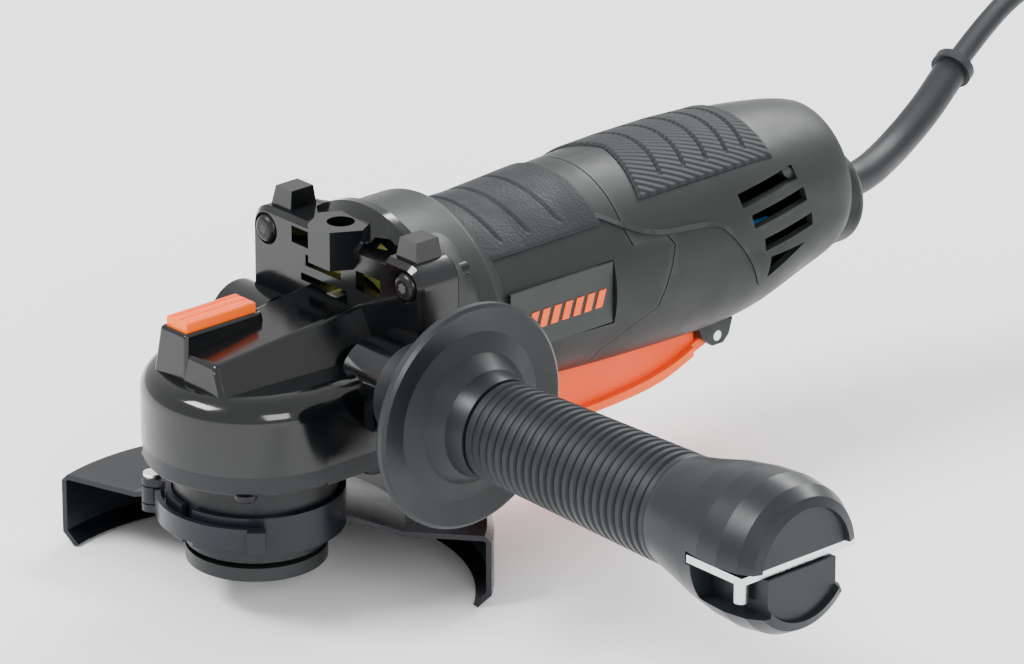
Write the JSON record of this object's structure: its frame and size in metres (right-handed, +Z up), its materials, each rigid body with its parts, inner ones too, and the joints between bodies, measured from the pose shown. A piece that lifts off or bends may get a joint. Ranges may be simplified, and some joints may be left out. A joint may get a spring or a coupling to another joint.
{
  "type": "angle grinder",
  "caption": "Corded compact angle grinder with wheel guard, quick-release clamp, side handle, paddle switch and spindle lock.",
  "frame": {"origin": "spindle axis at the wheel seat, the lower face of the inner flange", "axes": "+Z up along the spindle into the gear head, +Y to the rear along the motor, +X to the side handle"},
  "size_m": [0.2632, 0.4321, 0.108],
  "materials": {
    "head_black": "gloss",
    "cover_dark": "satin",
    "black_steel": "satin",
    "housing_grey": "matte moulded",
    "soft_rubber": "stippled",
    "olive_plastic": "moulded",
    "lamination": "laminated",
    "copper": "enamelled copper",
    "brass_metal": "satin",
    "carbon": "matte",
    "steel": "ground",
    "black_plastic": "matte",
    "blue_wire": "gloss",
    "orange_plastic": "satin",
    "guard_black": "satin powder coat",
    "handle_plastic": "satin",
    "grip_rubber": "satin",
    "zinc": "zinc plated",
    "cord_rubber": "satin",
    "tie_fabric": "woven",
    "flange_steel": "blackened"
  },
  "bodies": {
    "root": {"bearing_cover": "cover_dark", "brush_holders": "brass_metal", "brush_springs": "steel", "carbon_brushes": "carbon", "coil_tie": "tie_fabric", "cord": "cord_rubber", "cord_coil": "cord_rubber", "cord_guard": "cord_rubber", "cover_screws": "black_steel", "fan_baffle": "olive_plastic", "field_coils": "copper", "flange_screws": "black_steel", "front_grip_pad": "soft_rubber", "front_motor_bearing": "steel", "gear_housing": "head_black", "housing_screws": "black_steel", "lock_spring": "steel", "motor_housing": "housing_grey", "name_plate": "housing_grey", "paddle_pin": "steel", "plug_body": "cord_rubber", "plug_pins": "zinc", "rear_housing_left": "housing_grey", "rear_housing_right": "housing_grey", "rear_motor_bearing": "steel", "rear_pad_left": "soft_rubber", "rear_pad_right": "soft_rubber", "spindle_bearing": "steel", "spindle_bush": "brass_metal", "stator_core": "lamination", "switch_body": "black_plastic", "switch_wire": "blue_wire"},
    "spindle": {"spindle": "steel", "inner_flange": "flange_steel", "crown_gear": "steel"},
    "lock_nut": {"lock_nut": "flange_steel"},
    "armature": {"pinion": "steel", "armature_shaft": "steel", "rotor_core": "lamination", "rotor_winding": "copper", "commutator": "copper", "fan": "black_plastic"},
    "spindle_lock": {"lock_button": "orange_plastic", "lock_pin": "steel"},
    "paddle": {"paddle": "orange_plastic"},
    "guard": {"guard": "guard_black", "guard_collar": "guard_black", "lever_pin": "steel"},
    "clamp_lever": {"clamp_lever": "guard_black"},
    "side_handle": {"handle_stud": "steel", "handle_body": "handle_plastic", "handle_grip": "grip_rubber", "handle_end_cap": "handle_plastic"},
    "pin_wrench": {"pin_wrench": "zinc"}
  },
  "joints": [
    {"name": "armature_spin", "type": "hinge", "parent": "root", "child": "armature", "pos_m": [0, 0, 0.0524], "axis": [0, 1, 0], "continuous": true},
    {"name": "spindle_spin", "type": "hinge", "parent": "root", "child": "spindle", "pos_m": [0, 0, 0], "axis": [0, 0, 1], "continuous": true},
    {"name": "lock_nut_unscrew", "type": "slide", "parent": "spindle", "child": "lock_nut", "axis": [0, 0, -1], "range_m": [0, 0.03]},
    {"name": "spindle_lock_press", "type": "slide", "parent": "root", "child": "spindle_lock", "axis": [0, 0, -1], "range_m": [0, 0.0032], "stiffness_N_per_m": 250, "springref_m": -0.002, "deforming": ["lock_spring"]},
    {"name": "paddle_press", "type": "hinge", "parent": "root", "child": "paddle", "pos_m": [0, 0.166, 0.0196], "axis": [-1, 0, 0], "range_deg": [0, 5], "stiffness_Nm_per_rad": 0.6, "springref_deg": -6.88},
    {"name": "guard_turn", "type": "hinge", "parent": "root", "child": "guard", "pos_m": [0, 0, 0], "axis": [0, 0, 1], "range_deg": [-80, 80]},
    {"name": "guard_lever_open", "type": "hinge", "parent": "guard", "child": "clamp_lever", "pos_m": [-0.0249, -0.01744, 0.01], "axis": [0, 0, -1], "range_deg": [0, 60]},
    {"name": "handle_unscrew", "type": "slide", "parent": "root", "child": "side_handle", "axis": [1, 0, 0], "range_m": [0, 0.014]},
    {"name": "wrench_slide", "type": "slide", "parent": "side_handle", "child": "pin_wrench", "axis": [1, 0, 0], "range_m": [0, 0.025]}
  ],
  "couplings": [
    {"joint": "spindle_spin", "follows": "armature_spin", "ratio": 0.30303}
  ]
}
